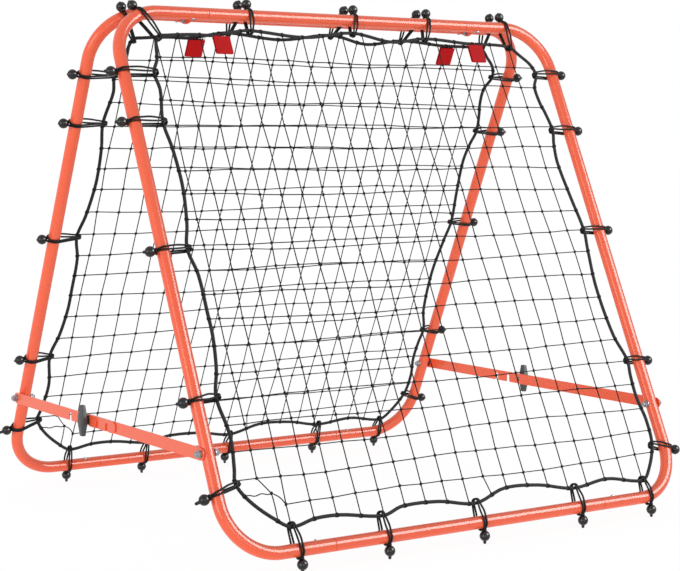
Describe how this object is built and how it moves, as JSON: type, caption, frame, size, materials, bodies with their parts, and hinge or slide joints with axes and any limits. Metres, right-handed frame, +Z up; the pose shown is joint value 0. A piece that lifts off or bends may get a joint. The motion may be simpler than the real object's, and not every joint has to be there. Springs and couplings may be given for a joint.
{
  "type": "soccer rebound net",
  "caption": "Folding soccer rebound net: leaning orange tube frames hinged along the top, each holding a black net laced in with ball bungees, held open by flat side struts.",
  "frame": {"origin": "on the ground, in the middle of the footprint, below the top hinge", "axes": "+X along the top hinge, +Y from the front frame to the rear frame, +Z up"},
  "size_m": [1.01, 0.8946, 0.9268],
  "materials": {
    "orange_powder_coat": "gloss powder coat",
    "zinc_plated_steel": "bright zinc plate",
    "black_cord": "braided cord",
    "black_plastic": "glossy moulded",
    "dark_plastic": "satin moulded",
    "red_webbing": "woven webbing"
  },
  "bodies": {
    "front frame": {"front_side_tube_left": "orange_powder_coat", "front_side_tube_right": "orange_powder_coat", "front_top_tube": "orange_powder_coat", "front_bottom_tube": "orange_powder_coat", "front_net": "black_cord", "front_net_rope": "black_cord", "front_bungee_top_1": "black_plastic", "front_bungee_top_2": "black_plastic", "front_bungee_top_3": "black_plastic", "front_bungee_top_4": "black_plastic", "front_bungee_top_5": "black_plastic", "front_bungee_bottom_1": "black_plastic", "front_bungee_bottom_2": "black_plastic", "front_bungee_bottom_3": "black_plastic", "front_bungee_bottom_4": "black_plastic", "front_bungee_bottom_5": "black_plastic", "front_tab_left": "red_webbing", "front_tab_right": "red_webbing", "front_strut_bolt_left": "zinc_plated_steel", "front_strut_bolt_right": "zinc_plated_steel", "hinge_bolt_left": "zinc_plated_steel", "hinge_bolt_right": "zinc_plated_steel"},
    "rear frame": {"rear_side_tube_left": "orange_powder_coat", "rear_side_tube_right": "orange_powder_coat", "rear_top_tube": "orange_powder_coat", "rear_bottom_tube": "orange_powder_coat", "rear_net": "black_cord", "rear_net_rope": "black_cord", "rear_bungee_top_1": "black_plastic", "rear_bungee_top_2": "black_plastic", "rear_bungee_top_3": "black_plastic", "rear_bungee_top_4": "black_plastic", "rear_bungee_top_5": "black_plastic", "rear_bungee_bottom_1": "black_plastic", "rear_bungee_bottom_2": "black_plastic", "rear_bungee_bottom_3": "black_plastic", "rear_bungee_bottom_4": "black_plastic", "rear_bungee_bottom_5": "black_plastic", "rear_tab_left": "red_webbing", "rear_tab_right": "red_webbing", "rear_strut_bolt_left": "zinc_plated_steel", "rear_strut_bolt_right": "zinc_plated_steel", "rear_strut_spacer_left": "black_plastic", "rear_strut_spacer_right": "black_plastic"},
    "front strut bar left": {"front_strut_bar_left": "orange_powder_coat"},
    "front strut bar right": {"front_strut_bar_right": "orange_powder_coat"},
    "rear strut bar left": {"rear_strut_bar_left": "orange_powder_coat"},
    "rear strut bar right": {"rear_strut_bar_right": "orange_powder_coat"},
    "strut knob left": {"strut_knob_left": "dark_plastic"},
    "strut knob right": {"strut_knob_right": "dark_plastic"},
    "front top snap button left": {"front_top_snap_button_left": "zinc_plated_steel"},
    "front top snap button right": {"front_top_snap_button_right": "zinc_plated_steel"},
    "front bottom snap button left": {"front_bottom_snap_button_left": "zinc_plated_steel"},
    "front bottom snap button right": {"front_bottom_snap_button_right": "zinc_plated_steel"},
    "rear top snap button left": {"rear_top_snap_button_left": "zinc_plated_steel"},
    "rear top snap button right": {"rear_top_snap_button_right": "zinc_plated_steel"},
    "rear bottom snap button left": {"rear_bottom_snap_button_left": "zinc_plated_steel"},
    "rear bottom snap button right": {"rear_bottom_snap_button_right": "zinc_plated_steel"}
  },
  "joints": [
    {"name": "frame hinge", "type": "hinge", "parent": "front frame", "child": "rear frame", "pos_m": [0, 0, 0.88232], "axis": [1, 0, 0], "range_deg": [-50.3, 0]},
    {"name": "front strut pivot left", "type": "hinge", "parent": "front frame", "child": "front strut bar left", "pos_m": [-0.4803, -0.35657, 0.1882], "axis": [1, 0, 0], "range_deg": [0, 47]},
    {"name": "front strut pivot right", "type": "hinge", "parent": "front frame", "child": "front strut bar right", "pos_m": [0.4803, -0.35657, 0.1882], "axis": [1, 0, 0], "range_deg": [0, 47]},
    {"name": "rear strut pivot left", "type": "hinge", "parent": "rear frame", "child": "rear strut bar left", "pos_m": [-0.4826, 0.35657, 0.1882], "axis": [1, 0, 0], "range_deg": [-47, 0]},
    {"name": "rear strut pivot right", "type": "hinge", "parent": "rear frame", "child": "rear strut bar right", "pos_m": [0.4826, 0.35657, 0.1882], "axis": [1, 0, 0], "range_deg": [-47, 0]},
    {"name": "strut knob left turn", "type": "hinge", "parent": "rear strut bar left", "child": "strut knob left", "pos_m": [-0.492, 0.043, 0.1882], "axis": [-1, 0, 0], "continuous": true},
    {"name": "strut knob right turn", "type": "hinge", "parent": "rear strut bar right", "child": "strut knob right", "pos_m": [0.492, 0.043, 0.1882], "axis": [1, 0, 0], "continuous": true},
    {"name": "front top snap button left press", "type": "slide", "parent": "front frame", "child": "front top snap button left", "axis": [0, 0.4251, 0.9052], "range_m": [0, 0.0035], "stiffness_N_per_m": 1500, "springref_m": -0.001},
    {"name": "front top snap button right press", "type": "slide", "parent": "front frame", "child": "front top snap button right", "axis": [0, 0.4251, 0.9052], "range_m": [0, 0.0035], "stiffness_N_per_m": 1500, "springref_m": -0.001},
    {"name": "front bottom snap button left press", "type": "slide", "parent": "front frame", "child": "front bottom snap button left", "axis": [0, -0.4251, -0.9052], "range_m": [0, 0.0035], "stiffness_N_per_m": 1500, "springref_m": -0.001},
    {"name": "front bottom snap button right press", "type": "slide", "parent": "front frame", "child": "front bottom snap button right", "axis": [0, -0.4251, -0.9052], "range_m": [0, 0.0035], "stiffness_N_per_m": 1500, "springref_m": -0.001},
    {"name": "rear top snap button left press", "type": "slide", "parent": "rear frame", "child": "rear top snap button left", "axis": [0, -0.4251, 0.9052], "range_m": [0, 0.0035], "stiffness_N_per_m": 1500, "springref_m": -0.001},
    {"name": "rear top snap button right press", "type": "slide", "parent": "rear frame", "child": "rear top snap button right", "axis": [0, -0.4251, 0.9052], "range_m": [0, 0.0035], "stiffness_N_per_m": 1500, "springref_m": -0.001},
    {"name": "rear bottom snap button left press", "type": "slide", "parent": "rear frame", "child": "rear bottom snap button left", "axis": [0, 0.4251, -0.9052], "range_m": [0, 0.0035], "stiffness_N_per_m": 1500, "springref_m": -0.001},
    {"name": "rear bottom snap button right press", "type": "slide", "parent": "rear frame", "child": "rear bottom snap button right", "axis": [0, 0.4251, -0.9052], "range_m": [0, 0.0035], "stiffness_N_per_m": 1500, "springref_m": -0.001}
  ],
  "couplings": [
    {"joint": "front strut pivot left", "follows": "frame hinge", "ratio": -0.934},
    {"joint": "front strut pivot right", "follows": "frame hinge", "ratio": -0.934},
    {"joint": "rear strut pivot left", "follows": "frame hinge", "ratio": 0.934},
    {"joint": "rear strut pivot right", "follows": "frame hinge", "ratio": 0.934}
  ]
}
